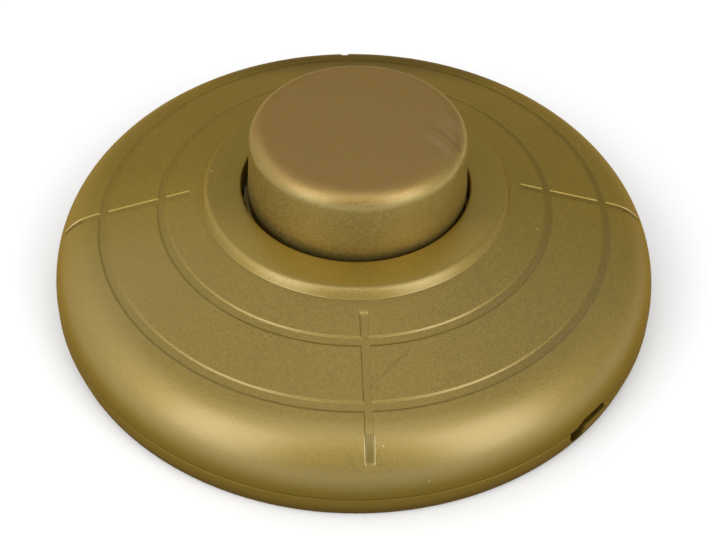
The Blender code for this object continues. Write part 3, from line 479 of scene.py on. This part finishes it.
def make_base_tray():
    """The base: a fine outer band with the inlets' lower halves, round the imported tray's inner part."""
    rim = rim_radius(BASE_RIM_TOP)
    rows = [(TRAY_RADIUS, TRAY_FLOOR), (TRAY_RADIUS, BASE_BOTTOM), (32.2, BASE_BOTTOM), (33.6, BASE_BOTTOM)]
    rows += [*arc((BASE_BOTTOM_RADIUS - BASE_EDGE, BASE_BOTTOM + BASE_EDGE), BASE_EDGE, -90, -4, 6)]
    rows += [(BASE_BOTTOM_RADIUS + 0.12, 1.2), (BASE_BOTTOM_RADIUS + 0.3, 2.1)]
    rows += [*arc((rim - BASE_RIM_EDGE, BASE_RIM_TOP - BASE_RIM_EDGE), BASE_RIM_EDGE, 0, 90, 6)]
    rows += [(34.0, BASE_RIM_TOP), (LIP_OUTER, BASE_RIM_TOP), (LIP_OUTER, 3.9), (LIP_OUTER - 0.2, LIP_TOP)]
    rows += [(LIP_INNER, LIP_TOP), (LIP_INNER, TRAY_FLOOR + 0.1), (31.4, TRAY_FLOOR)]
    plan = column_plan()
    points = []
    for radius, height in rows:
        angles = column_angles(plan, radius)
        x, y = radius * np.cos(angles), radius * np.sin(angles)
        near = np.where(np.abs(x) > np.abs(y), np.abs(y), FAR_OFF)
        over_inlet = height > 1.0
        low = np.minimum(height, inlet_bottom(near)) if over_inlet else height + 0 * angles
        if over_inlet and radius > LIP_OUTER:
            closed = (y * np.sign(x) > INLET_LIP_START) & (near < FAR_OFF)
            low = np.where(closed, np.maximum(low, min(height, INLET_LIP_TOP)), low)
        points.append(np.stack([x, y, low], axis=1))
    band = new_piece("base_tray", np.concatenate(points), loop_faces(len(rows), len(plan), True))
    tray = inside_of("base", rods("tray_space", [(0, 0)], TRAY_RADIUS, -1.0, 14.0, column_angles(plan, TRAY_RADIUS)))
    return merged(band, tray)


def turned_piece(name, rows, columns):
    """A fine turned piece from profile rows, in millimetres. Rows on the axis become one point."""
    points, faces, starts = [], [], []
    angles = np.linspace(0, 2 * math.pi, columns, endpoint=False)
    for radius, height in rows:
        starts.append((len(points), radius > 1e-6))
        if radius > 1e-6:
            points += [(radius * math.cos(a), radius * math.sin(a), height) for a in angles]
        else:
            points.append((0, 0, height))
    for (top, top_ring), (low, low_ring) in zip(starts, starts[1:]):
        for column in range(columns):
            right = (column + 1) % columns
            ring = [top + column] if top_ring else [top]
            ring += [low + column, low + right] if low_ring else [low]
            ring += [top + right] if top_ring else []
            faces.append(ring)
    return new_piece(name, points, faces)


def make_button_cap():
    """The press cap: slightly crowned top, soft round edge, tapered skirt and the flange under the cover."""
    rows = [(0, BUTTON_TOP)]
    rows += [(r, BUTTON_TOP - BUTTON_CROWN * (r / BUTTON_FLAT_RADIUS) ** 2) for r in spread(1.2, 9.4, 9)]
    round_centre = (BUTTON_FLAT_RADIUS, BUTTON_TOP - BUTTON_CROWN - BUTTON_ROUND)
    rows += [*arc(round_centre, BUTTON_ROUND, 90, 2, 18)]
    rows += [(12.06, 19.0), (12.2, 17.0), (BUTTON_FOOT_RADIUS, 14.9), (BUTTON_FOOT_RADIUS, FLANGE_TOP + 0.05)]
    rows += [(12.5, FLANGE_TOP), (13.6, FLANGE_TOP), (FLANGE_RADIUS, 12.65), (FLANGE_RADIUS, 11.65)]
    rows += [(13.6, FLANGE_BOTTOM), (10.9, FLANGE_BOTTOM)]
    rows += [(10.85, 11.6), (10.8, 15.0), (10.45, 20.2), (9.6, 21.2), (0, 21.2)]
    cap = turned_piece("button_cap", rows, BUTTON_COLUMNS)
    lean = Vector((math.cos(CAMERA_AZIMUTH), math.sin(CAMERA_AZIMUTH), 0)) * BUTTON_LEAN * MM
    cap.data.transform(Matrix.Translation(lean))
    carved(cap, blocks("notch_space", RIB_ANGLES, NOTCH_REACH, NOTCH_WIDTH, 11.0, 13.3), "DIFFERENCE")
    return merged(cap, inside_of("button", rods("crown_space", [(0, 0)], TEETH_SPACE, 9.0, 22.0)))


def make_return_coil():
    """The return spring: round wire, with one closed turn at each end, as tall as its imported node."""
    low, high = (corner[2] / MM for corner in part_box("return_spring"))
    foot = low + SPRING_WIRE / 2
    live_turns = SPRING_TURNS - 2 * SPRING_DEAD_TURNS
    live_pitch = (high - low - SPRING_WIRE - 2 * SPRING_DEAD_TURNS * SPRING_DEAD_PITCH) / live_turns
    points = []
    rings = round(SPRING_TURNS * SPRING_STEPS) + 1
    for turns in np.linspace(0, SPRING_TURNS, rings):
        live = np.clip(turns - SPRING_DEAD_TURNS, 0, live_turns)
        height = foot + live * live_pitch + (turns - live) * SPRING_DEAD_PITCH
        around = 2 * math.pi * turns
        for side in np.linspace(0, 2 * math.pi, SPRING_SIDES, endpoint=False):
            radius = SPRING_RADIUS + SPRING_WIRE / 2 * math.cos(side)
            rise = SPRING_WIRE / 2 * math.sin(side)
            points.append((radius * math.cos(around), radius * math.sin(around), height + rise))
    first = tuple(range(SPRING_SIDES))
    last = tuple(range((rings - 1) * SPRING_SIDES, rings * SPRING_SIDES))
    return new_piece("return_coil", points, loop_faces(rings, SPRING_SIDES, False) + [first, last])


# Finishes


class Wire:
    """One number or colour that comes out of a node. Arithmetic on numbers adds Math nodes."""

    def __init__(self, recipe, socket):
        self.recipe = recipe
        self.socket = socket

    def worked_out(self, operation, first, second=0.0):
        """The result of one Math node."""
        return self.recipe.node("ShaderNodeMath", {"operation": operation}, {0: first, 1: second})

    def __add__(self, other):
        return self.worked_out("ADD", self, other)

    def __radd__(self, other):
        return self.worked_out("ADD", other, self)

    def __sub__(self, other):
        return self.worked_out("SUBTRACT", self, other)

    def __rsub__(self, other):
        return self.worked_out("SUBTRACT", other, self)

    def __mul__(self, other):
        return self.worked_out("MULTIPLY", self, other)

    def __rmul__(self, other):
        return self.worked_out("MULTIPLY", other, self)

    def __pow__(self, other):
        return self.worked_out("POWER", self, other)

    def __abs__(self):
        return self.worked_out("ABSOLUTE", self)

    def at_least(self, other):
        return self.worked_out("MAXIMUM", self, other)

    def at_most(self, other):
        return self.worked_out("MINIMUM", self, other)


class Finish:
    """A material and the nodes behind its Principled shader."""

    def __init__(self, name):
        self.material = bpy.data.materials.new(name)
        self.material.use_nodes = True
        self.tree = self.material.node_tree
        self.shader = self.tree.nodes["Principled BSDF"]
        self.place = self.node("ShaderNodeTexCoord", output="Object")

    def node(self, kind, settings=None, inputs=None, output=0):
        """A new node with its settings and the values or links of its sockets, as its output."""
        made = self.tree.nodes.new(kind)
        for key, value in (settings or {}).items():
            setattr(made, key, value)
        for key, value in (inputs or {}).items():
            self.feed(made.inputs[key], value)
        return Wire(self, made.outputs[output])

    def feed(self, socket, value):
        """Links a wire to a socket, or sets the socket's value."""
        if isinstance(value, Wire):
            self.tree.links.new(value.socket, socket)
        elif isinstance(value, tuple) and len(value) == 3 and socket.type == "RGBA":
            socket.default_value = (*value, 1.0)
        else:
            socket.default_value = value

    def set(self, **values):
        """Feeds the Principled shader's sockets, named with _ for each space."""
        for key, value in values.items():
            self.feed(self.shader.inputs[key.replace("_", " ")], value)

    def noise(self, size, detail=2.0, roughness=0.5, place=None):
        """Soft noise from 0 to 1 whose features are about this many millimetres wide."""
        sockets = {"Vector": place or self.place, "Scale": 1 / (size * MM), "Detail": detail, "Roughness": roughness}
        return self.node("ShaderNodeTexNoise", None, sockets, "Fac")

    def cells(self, size, output="Distance"):
        """Distance to the nearest of many scattered points about this many millimetres apart, or its own colour."""
        return self.node("ShaderNodeTexVoronoi", None, {"Vector": self.place, "Scale": 1 / (size * MM)}, output)

    def cell_value(self, size, channel):
        """One random number for each cell, from one channel of its colour."""
        return self.node("ShaderNodeSeparateColor", None, {0: self.cells(size, "Color")}, channel)

    def stretched(self, stretch, turn=(0.0, 0.0, 0.0)):
        """The place on the object, scaled along each axis and turned, for a texture with a direction."""
        return self.node("ShaderNodeMapping", None, {"Vector": self.place, "Rotation": turn, "Scale": stretch})

    def fade(self, value, low, high):
        """0 below low, 1 above high, smooth between."""
        settings = {"interpolation_type": "SMOOTHSTEP", "clamp": True}
        return self.node("ShaderNodeMapRange", settings, {"Value": value, "From Min": low, "From Max": high})

    def drop(self, value, low, high):
        """1 below low, 0 above high, smooth between."""
        return 1.0 - self.fade(value, low, high)

    def blend(self, factor, first, second):
        """A colour from the first to the second."""
        sockets = {"Factor": factor, 6: first, 7: second}
        return self.node("ShaderNodeMix", {"data_type": "RGBA"}, sockets, 2)

    def bump(self, height, depth):
        """Bump whose full height is this many millimetres."""
        return self.node("ShaderNodeBump", None, {"Height": height, "Distance": depth * MM, "Strength": 1.0})

    def axes(self):
        """The three coordinates of a point on the object, in millimetres."""
        split = self.tree.nodes.new("ShaderNodeSeparateXYZ")
        self.tree.links.new(self.place.socket, split.inputs[0])
        return [Wire(self, output) * (1 / MM) for output in split.outputs]


def toward_camera(x, y):
    """How far a point lies from the middle towards the camera, along the floor."""
    return x * VIEW_SINE - y * VIEW_COSINE


def right_of_camera(x, y):
    """How far a point lies from the middle to the camera's right, along the floor."""
    return x * VIEW_COSINE + y * VIEW_SINE


def scaled(colour, factor):
    """A colour made lighter or darker."""
    return tuple(part * factor for part in colour)


def gold_lacquer(name, colour, roughness, shade, coat, rear=1.0):
    """Gold lacquered plastic: fine flake under a satin coat, soft clouds, orange peel, a few bright specks.

    The coat thins out low down, and to the share rear towards the back, to bring the highlights near the photo's.
    """
    finish = Finish(name)
    flake = finish.cell_value(FLAKE_SIZE, 0)
    cloud = finish.noise(CLOUD_SIZE)
    tone = finish.blend(cloud, scaled(colour, 0.93), scaled(colour, 1.08))
    tone = finish.blend(flake * 0.22, tone, scaled(colour, 1.6))
    tone = finish.blend((1.0 - flake) * 0.2, tone, scaled(colour, 0.5))
    tone = shade(finish, tone)
    speck = finish.drop(finish.cells(SPECK_SPACING), *SPECK_EDGE)
    speck = speck * finish.fade(finish.cell_value(SPECK_SPACING, 1), *SPECK_CHOICE)
    tone = finish.blend(speck * 0.6, tone, SPECK)
    x, y, z = finish.axes()
    toward = toward_camera(x, y)
    sheen = finish.fade(z + toward * COAT_LEAN, *COAT_HEIGHTS) * (coat - COAT_LEAST)
    sheen = COAT_LEAST + sheen * (rear + finish.fade(toward, *COAT_BACK_TO_FRONT) * (1.0 - rear))
    peel = finish.noise(PEEL_SIZE)
    finish.set(
        Base_Color=tone,
        Metallic=0.88,
        Roughness=roughness + (flake - 0.5) * 0.18 + (cloud - 0.5) * 0.06,
        Specular_IOR_Level=0.3,
        Specular_Tint=(0.7, 0.5, 0.15),
        Coat_Weight=sheen,
        Coat_Roughness=0.3,
        Coat_IOR=2.5,
        Normal=finish.bump(peel + flake * 0.6, PEEL_DEPTH),
    )
    return finish.material


def cover_marks_and_painted_light(finish, tone):
    """Painted shade in the grooves and at the arms' ends on the rim, painted highlights along those ends' edges,
    painted shade along the lower edge, and one faint scratch in front.

    The groove shade grows towards the sides, the back gets painted shade and the collar in front painted light:
    they bring tones to the photo's where the lamps don't.
    """
    x, y, z = finish.axes()
    toward, aside = toward_camera(x, y), right_of_camera(x, y)
    radius = (x * x + y * y) ** 0.5
    along = abs(x * math.cos(ARM_ANGLE) + y * math.sin(ARM_ANGLE))
    across = abs(y * math.cos(ARM_ANGLE) - x * math.sin(ARM_ANGLE))
    line = along.at_most(across)
    over_end = finish.fade(z, ARM_END_HEIGHT - GROOVE_EDGE, ARM_END_HEIGHT + GROOVE_EDGE)

    # Painted shade in the arms' ends on the rim, and painted highlights along their edges
    on_rim = finish.drop(z, ARM_DEEP_HEIGHT - GROOVE_EDGE, ARM_DEEP_HEIGHT + GROOVE_EDGE) * over_end
    tone = finish.blend(finish.drop(line, *ARM_END_SHADE_WIDTH) * on_rim * 0.72, tone, ARM_END_SHADE)
    painted_edge_highlight = finish.fade(line, *ARM_END_HIGHLIGHT_IN) * finish.drop(line, *ARM_END_HIGHLIGHT_OUT)
    tone = finish.blend(painted_edge_highlight * on_rim * 0.36, tone, ARM_END_HIGHLIGHT)

    # Painted shade in the grooves, stronger towards the sides of the view
    sunk = finish.drop(line, *ARM_SHADE) * finish.fade(radius, *ARM_SHADE_START) * over_end
    for inner, outer in RING_GROOVES:
        from_inside = finish.fade(radius, inner + RING_SHADE_INSIDE[0], inner + RING_SHADE_INSIDE[1])
        to_outside = finish.drop(radius, outer + RING_SHADE_OUTSIDE[0], outer + RING_SHADE_OUTSIDE[1])
        sunk = sunk.at_least(from_inside * to_outside)
    groove_shade_strength = 0.02 + 0.3 * finish.fade(aside, *GROOVE_SHADE_SIDES) + 0.1 * finish.fade(0.0 - aside, *GROOVE_SHADE_SIDES)
    tone = finish.blend(sunk * groove_shade_strength, tone, scaled(COVER_GOLD, 0.45))

    # Painted shade over the back, away from the camera
    tone = finish.blend(finish.fade(0.0 - toward, *BACK_SHADE) * 0.75, tone, scaled(COVER_GOLD, 0.3))
    # Painted light on the collar's flat in front of the button
    collar_painted_light = finish.drop(radius, *COLLAR_LIGHT_REACH) * finish.fade(toward, *COLLAR_LIGHT_FRONT)
    tone = finish.blend(collar_painted_light * 0.8, tone, scaled(COVER_GOLD, 1.5))
    # Painted shade along the cover's lower edge, near the floor
    tone = finish.blend(finish.drop(z, *LOW_SHADE) * 0.82, tone, scaled(COVER_GOLD, 0.3))

    wander = (finish.noise(SCRATCH_WANDER_SIZE) - 0.5) * SCRATCH_WANDER
    scratch = finish.drop(abs(x - SCRATCH_PLACE + wander), *SCRATCH_WIDTH)
    scratch = scratch * finish.fade(y, *SCRATCH_START) * finish.drop(y, *SCRATCH_END)
    return finish.blend(scratch * 0.26, tone, scaled(COVER_GOLD, 0.4))


def button_marks_and_painted_light(finish, tone):
    """A warmer top, the soft flow marks in the lacquer near one side, and painted light on its right side.

    The painted light on the right side isn't a mark: it brings the tone to the photo's where the lamps don't.
    """
    x, y, z = finish.axes()
    top = finish.fade(z, *BUTTON_TOP_TONE)
    tone = finish.blend(top * 0.8, tone, BUTTON_TOP_GOLD)
    # Painted light on the button's right side
    painted_side_light = finish.fade(right_of_camera(x, y), *BUTTON_SIDE_LIGHT) * (1.0 - top)
    tone = finish.blend(painted_side_light * 0.8, tone, scaled(BUTTON_GOLD, 1.4))
    from_x, from_y = x - FLOW_PLACE[0], y - FLOW_PLACE[1]
    near = finish.drop((from_x * from_x + from_y * from_y) ** 0.5, *FLOW_REACH) * finish.fade(z, *FLOW_HEIGHTS)
    flow = finish.noise(FLOW_SIZE, 2.5, 0.55, finish.stretched(FLOW_STRETCH, FLOW_TURN))
    tone = finish.blend(near * finish.fade(flow, 0.52, 0.62) * 0.36, tone, FLOW_LIGHT)
    return finish.blend(near * finish.drop(flow, 0.38, 0.5) * 0.3, tone, FLOW_DARK)


def base_painted_shade(finish, tone):
    """Painted shade inside the inlets, and a painted shade band near the floor."""
    x, y, z = finish.axes()
    radius = (x * x + y * y) ** 0.5
    # Painted dark brown shade inside the inlets
    inside = finish.drop(radius, *INLET_SHADE_REACH) * finish.fade(z, *INLET_SHADE_FLOOR)
    tone = finish.blend(inside * 0.9, tone, INLET_SHADE)
    # Painted shade on the base near the floor
    return finish.blend(finish.drop(z, *BASE_LOW_SHADE) * 0.75, tone, scaled(BASE_GOLD, 0.35))


def plain_moulding(name, colour, roughness, grain):
    """Moulded plastic or rubber with a fine grain and slight unevenness."""
    finish = Finish(name)
    fine = finish.noise(grain, 3.0, 0.6)
    broad = finish.noise(6.0, 2.0, 0.5)
    tone = finish.blend(broad, scaled(colour, 0.86), scaled(colour, 1.12))
    finish.set(Base_Color=tone, Roughness=roughness + (fine - 0.5) * 0.2, Normal=finish.bump(fine, 0.02))
    return finish.material


def worked_metal(name, colour, roughness, stretch):
    """Stamped, drawn or plated metal with fine lines along one direction and slight staining."""
    finish = Finish(name)
    lines = finish.noise(0.25, 3.0, 0.6, finish.stretched(stretch))
    stain = finish.noise(3.0, 3.0, 0.6)
    tone = finish.blend(stain, scaled(colour, 0.82), scaled(colour, 1.08))
    finish.set(Base_Color=tone, Metallic=1.0, Roughness=roughness + (lines - 0.5) * 0.2 + (stain - 0.5) * 0.12,
               Normal=finish.bump(lines, 0.006))
    return finish.material


def give(piece, material):
    """Puts a finish on a piece made here."""
    piece.data.materials.clear()
    piece.data.materials.append(material)
    return piece


def dress(node, material):
    """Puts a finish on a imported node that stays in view."""
    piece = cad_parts[node]
    if not piece.material_slots:
        piece.data.materials.append(material)
    for slot in piece.material_slots:
        slot.material = material


# Pieces

COVER_GOLD = (0.274, 0.190, 0.028)
BASE_GOLD = (0.155, 0.105, 0.016)
BUTTON_GOLD = (0.274, 0.204, 0.057)
BUTTON_TOP_GOLD = (0.312, 0.186, 0.045)
SPECK = (0.75, 0.70, 0.42)
# Painted shade and painted highlight for the arms' ends on the rim
ARM_END_SHADE = (0.15, 0.105, 0.008)
ARM_END_HIGHLIGHT = (0.62, 0.52, 0.3)
FLOW_LIGHT = (0.34, 0.28, 0.15)
FLOW_DARK = (0.10, 0.085, 0.04)
# Painted shade inside the inlets
INLET_SHADE = (0.05, 0.022, 0.01)

cover_lacquer = gold_lacquer("cover_lacquer", COVER_GOLD, 0.5, cover_marks_and_painted_light, 0.28, 0.3)
base_lacquer = gold_lacquer("base_lacquer", BASE_GOLD, 0.55, base_painted_shade, 0.03)
button_lacquer = gold_lacquer("button_lacquer", BUTTON_GOLD, 0.46, button_marks_and_painted_light, 0.15)

cover_shell = give(make_cover_shell(), cover_lacquer)
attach(cover_shell, "housing")
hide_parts("cover")

base_tray = give(make_base_tray(), base_lacquer)
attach(base_tray, "housing")
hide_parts("base")

button_cap = give(make_button_cap(), button_lacquer)
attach(button_cap, "button")
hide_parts("button")

ivory = plain_moulding("ivory_moulding", (0.62, 0.57, 0.44), 0.45, 0.4)
black = plain_moulding("black_moulding", (0.03, 0.03, 0.032), 0.5, 0.35)
rubber = plain_moulding("foot_rubber", (0.035, 0.034, 0.033), 0.75, 0.3)
brass = worked_metal("stamped_brass", (0.72, 0.52, 0.22), 0.32, (0.1, 1.0, 1.0))
zinc = worked_metal("zinc_plate", (0.62, 0.62, 0.60), 0.36, (1.0, 0.15, 1.0))
wire = worked_metal("spring_wire", (0.58, 0.58, 0.58), 0.3, (1.0, 1.0, 0.3))

return_coil = give(make_return_coil(), wire)
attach(return_coil, "housing")
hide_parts("return_spring")
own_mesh(return_coil)

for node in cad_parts:
    if node in ("cover", "base", "button", "return_spring"):
        continue
    if node.startswith("foot"):
        dress(node, rubber)
    elif node in ("selector_rotor", "cord_clamp_in", "cord_clamp_out"):
        dress(node, ivory)
    elif node == "mechanism_cage":
        dress(node, black)
    elif "screw" in node or "plate" in node:
        dress(node, zinc)
    else:
        dress(node, brass)


# Floor, light and camera


def make_floor():
    """A plain matt floor, pale enough to show white in this light. It takes the switch's shadow."""
    finish = Finish("pale_floor")
    finish.set(Base_Color=FLOOR_COLOUR, Roughness=0.95, Specular_IOR_Level=0.0)
    half = FLOOR_HALF_SIZE
    mesh = bpy.data.meshes.new("floor")
    mesh.from_pydata([(-half, -half, 0), (half, -half, 0), (half, half, 0), (-half, half, 0)], [], [(0, 1, 2, 3)])
    mesh.materials.append(finish.material)
    floor = bpy.data.objects.new("floor", mesh)
    bpy.context.scene.collection.objects.link(floor)


def make_world():
    """An even pale grey room."""
    world = bpy.data.worlds.new("studio")
    bpy.context.scene.world = world
    world.use_nodes = True
    back = world.node_tree.nodes["Background"]
    back.inputs["Color"].default_value = (1.0, 1.0, 1.0, 1.0)
    back.inputs["Strength"].default_value = ROOM_LEVEL


def softbox(name, azimuth, elevation, size, level):
    """An area lamp aimed at the switch. Azimuth is seen from the camera: 0 is behind it, 90 to its right."""
    lamp = bpy.data.lights.new(name, "AREA")
    lamp.shape = "RECTANGLE"
    lamp.size, lamp.size_y = size
    lamp.energy = level * math.pi * size[0] * size[1]
    turn = CAMERA_AZIMUTH + math.radians(azimuth)
    rise = math.radians(elevation)
    away = Vector((math.sin(turn) * math.cos(rise), -math.cos(turn) * math.cos(rise), math.sin(rise)))
    box = bpy.data.objects.new(name, lamp)
    box.location = away * LAMP_DISTANCE
    box.rotation_mode = "QUATERNION"
    box.rotation_quaternion = (-away).to_track_quat("-Z", "Y")
    box.visible_camera = False
    bpy.context.scene.collection.objects.link(box)


def make_camera():
    """The photograph's viewpoint: aimed at the switch, then turned so that it lands on its pixel."""
    data = bpy.data.cameras.new("camera")
    data.sensor_width = SENSOR_WIDTH
    data.lens = SENSOR_WIDTH * CAMERA_FOCAL_PIXELS / PHOTO_WIDTH
    data.clip_start, data.clip_end = 0.005, 50.0
    camera = bpy.data.objects.new("camera", data)
    bpy.context.scene.collection.objects.link(camera)
    bpy.context.scene.camera = camera
    flat = math.cos(CAMERA_ELEVATION)
    away = Vector((math.sin(CAMERA_AZIMUTH) * flat, -math.cos(CAMERA_AZIMUTH) * flat, math.sin(CAMERA_ELEVATION)))
    camera.location = (CAMERA_TARGET + away * CAMERA_DISTANCE) * MM
    across = TARGET_PIXEL[0] - PHOTO_WIDTH / 2
    down = TARGET_PIXEL[1] - PHOTO_HEIGHT / 2
    seen = Vector((across, -down, -CAMERA_FOCAL_PIXELS)).normalized()
    aim = (-away).to_track_quat("-Z", "Y")
    roll = Quaternion((0, 0, 1), CAMERA_ROLL)
    offset = Vector((0, 0, -1)).rotation_difference(seen)
    camera.rotation_mode = "QUATERNION"
    camera.rotation_quaternion = aim @ roll @ offset.inverted()


bpy.context.scene.view_settings.view_transform = "Standard"
make_floor()
make_world()
softbox("front_left_box", -45, 27, (0.5, 0.85), 2.85)
softbox("front_right_box", 47, 27, (0.5, 0.85), 3.35)
softbox("front_top_box", 0, 67, (0.9, 0.6), 0.85)
softbox("side_box", -90, 28, (1.6, 0.8), 0.66)
softbox("back_box", 180, 55, (0.9, 0.6), 0.15)
make_camera()
